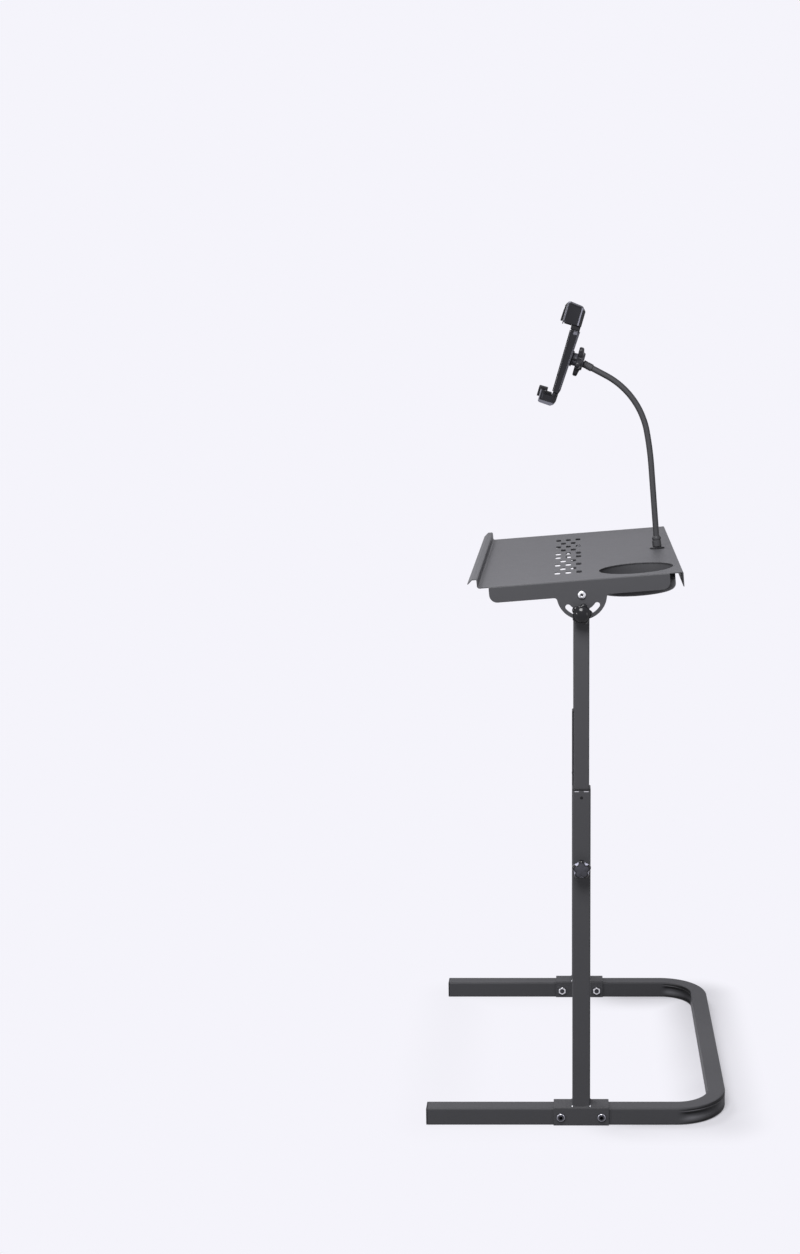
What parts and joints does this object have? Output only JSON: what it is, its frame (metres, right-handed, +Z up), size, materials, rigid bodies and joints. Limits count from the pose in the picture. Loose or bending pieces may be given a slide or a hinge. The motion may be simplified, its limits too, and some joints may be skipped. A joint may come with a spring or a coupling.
{
  "type": "height-adjustable bicycle trainer desk",
  "caption": "Stand-up steel desk with a U-shaped base, telescoping posts, a tilting tray with a cup well, and a gooseneck tablet holder.",
  "frame": {"origin": "on the floor, at the middle of the bounding box in plan", "axes": "+Z up; +X away from the rider, towards the closed end of the U base; -Y towards the side with the cup well"},
  "size_m": [0.51, 0.6722, 1.3675],
  "materials": {
    "powder_coat": "dark grey fine-textured powder coat, satin",
    "tray_coat": "dark grey fine-textured powder coat, satin",
    "zinc": "bright zinc plate",
    "bolt_steel": "dark nickel plate",
    "black_plastic": "satin moulded plastic",
    "gloss_plastic": "glossy moulded plastic",
    "holder_plastic": "satin dark grey plastic",
    "neck_coat": "black coated flexible metal tube",
    "pad_rubber": "matte rubber"
  },
  "bodies": {
    "base": {"base_tube": "powder_coat", "base_end_cap_near": "black_plastic", "base_end_cap_far": "black_plastic", "saddle_bracket_near": "powder_coat", "saddle_bracket_far": "powder_coat", "sleeve_near": "powder_coat", "sleeve_far": "powder_coat", "sleeve_bush_near": "black_plastic", "sleeve_bush_far": "black_plastic", "knob_boss_near": "powder_coat", "knob_boss_far": "powder_coat", "saddle_bolt_near_1": "bolt_steel", "saddle_bolt_near_2": "bolt_steel", "saddle_bolt_far_1": "bolt_steel", "saddle_bolt_far_2": "bolt_steel", "saddle_nut_near_1": "zinc", "saddle_nut_near_2": "zinc", "saddle_nut_far_1": "zinc", "saddle_nut_far_2": "zinc"},
    "carriage": {"inner_post_near": "powder_coat", "inner_post_far": "powder_coat", "post_cap_near": "black_plastic", "post_cap_far": "black_plastic", "pivot_bolt_near": "zinc", "pivot_bolt_far": "zinc", "pivot_nut_near": "zinc", "pivot_nut_far": "zinc", "pivot_washer_near": "black_plastic", "pivot_washer_far": "black_plastic", "tilt_nut_near": "zinc", "tilt_nut_far": "zinc", "tilt_washer_near": "zinc", "tilt_washer_far": "zinc"},
    "height_knob_near": {"height_knob_near": "gloss_plastic"},
    "height_knob_far": {"height_knob_far": "gloss_plastic"},
    "tilt_knob_near": {"tilt_knob_near": "gloss_plastic"},
    "tilt_knob_far": {"tilt_knob_far": "gloss_plastic"},
    "tray": {"tray": "tray_coat", "cup_well": "tray_coat", "neck_base": "black_plastic", "neck_base_nut": "zinc"},
    "neck_1": {"neck_foot": "neck_coat", "neck_link_1": "neck_coat"},
    "neck_2": {"neck_link_2": "neck_coat"},
    "neck_3": {"neck_link_3": "neck_coat"},
    "neck_4": {"neck_link_4": "neck_coat"},
    "neck_5": {"neck_link_5": "neck_coat"},
    "neck_6": {"neck_link_6": "neck_coat", "neck_ferrule": "neck_coat"},
    "ball": {"ball_stud": "bolt_steel"},
    "liner": {"socket_liner": "black_plastic"},
    "holder": {"holder_back": "holder_plastic", "lower_jaw": "holder_plastic", "lower_jaw_screw": "bolt_steel", "lower_jaw_pad": "pad_rubber", "back_pad": "pad_rubber"},
    "collar": {"collar_nut": "black_plastic"},
    "jaw": {"upper_jaw": "holder_plastic", "upper_jaw_pad": "pad_rubber", "upper_jaw_guard": "pad_rubber"}
  },
  "joints": [
    {"name": "height_slide", "type": "slide", "parent": "base", "child": "carriage", "axis": [0, 0, 1], "range_m": [-0.25, 0.14]},
    {"name": "height_knob_near_turn", "type": "hinge", "parent": "base", "child": "height_knob_near", "pos_m": [0.006, -0.32, 0.452], "axis": [0, -1, 0], "range_deg": [0, 720]},
    {"name": "height_knob_far_turn", "type": "hinge", "parent": "base", "child": "height_knob_far", "pos_m": [0.006, 0.32, 0.452], "axis": [0, 1, 0], "range_deg": [0, 720]},
    {"name": "tray_tilt", "type": "hinge", "parent": "carriage", "child": "tray", "pos_m": [0.006, 0, 0.904], "axis": [0, -1, 0], "range_deg": [-50, 45]},
    {"name": "tilt_knob_near_turn", "type": "hinge", "parent": "carriage", "child": "tilt_knob_near", "pos_m": [0.006, -0.32, 0.8742], "axis": [0, -1, 0], "range_deg": [0, 720]},
    {"name": "tilt_knob_far_turn", "type": "hinge", "parent": "carriage", "child": "tilt_knob_far", "pos_m": [0.006, 0.32, 0.8742], "axis": [0, 1, 0], "range_deg": [0, 720]},
    {"name": "neck_swivel", "type": "hinge", "parent": "tray", "child": "neck_1", "pos_m": [0.14089, 0, 0.93856], "axis": [-0.079, 0, 0.9969], "range_deg": [-175, 175]},
    {"name": "neck_bend_1", "type": "hinge", "parent": "neck_1", "child": "neck_2", "pos_m": [0.13536, 0, 1.00834], "axis": [0, -1, 0], "range_deg": [-11, 9]},
    {"name": "neck_bend_2", "type": "hinge", "parent": "neck_2", "child": "neck_3", "pos_m": [0.13062, 0, 1.06816], "axis": [0, -1, 0], "range_deg": [-11, 9]},
    {"name": "neck_bend_3", "type": "hinge", "parent": "neck_3", "child": "neck_4", "pos_m": [0.12398, 0, 1.12777], "axis": [0, -1, 0], "range_deg": [-11, 9]},
    {"name": "neck_bend_4", "type": "hinge", "parent": "neck_4", "child": "neck_5", "pos_m": [0.10633, 0, 1.18474], "axis": [0, -1, 0], "range_deg": [-11, 9]},
    {"name": "neck_bend_5", "type": "hinge", "parent": "neck_5", "child": "neck_6", "pos_m": [0.06703, 0, 1.22945], "axis": [0, -1, 0], "range_deg": [-11, 9]},
    {"name": "ball_spin", "type": "hinge", "parent": "neck_6", "child": "ball", "pos_m": [-0.00143, 0, 1.26722], "axis": [-0.8848, 0, 0.4659], "range_deg": [-175, 175]},
    {"name": "holder_tilt", "type": "hinge", "parent": "ball", "child": "liner", "pos_m": [-0.00143, 0, 1.26722], "axis": [0, -1, 0], "range_deg": [-33, 10]},
    {"name": "holder_turn", "type": "hinge", "parent": "liner", "child": "holder", "pos_m": [-0.00143, 0, 1.26722], "axis": [0.96, 0, -0.2802], "range_deg": [-180, 180]},
    {"name": "collar_nut_turn", "type": "hinge", "parent": "holder", "child": "collar", "pos_m": [-0.00143, 0, 1.26722], "axis": [0.96, 0, -0.2802], "range_deg": [0, 540]},
    {"name": "jaw_slide", "type": "slide", "parent": "holder", "child": "jaw", "axis": [0.2802, 0, 0.96], "range_m": [0, 0.06]}
  ],
  "couplings": [
    {"joint": "neck_bend_2", "follows": "neck_bend_1", "ratio": 1},
    {"joint": "neck_bend_3", "follows": "neck_bend_1", "ratio": 1},
    {"joint": "neck_bend_4", "follows": "neck_bend_1", "ratio": 1},
    {"joint": "neck_bend_5", "follows": "neck_bend_1", "ratio": 1}
  ]
}
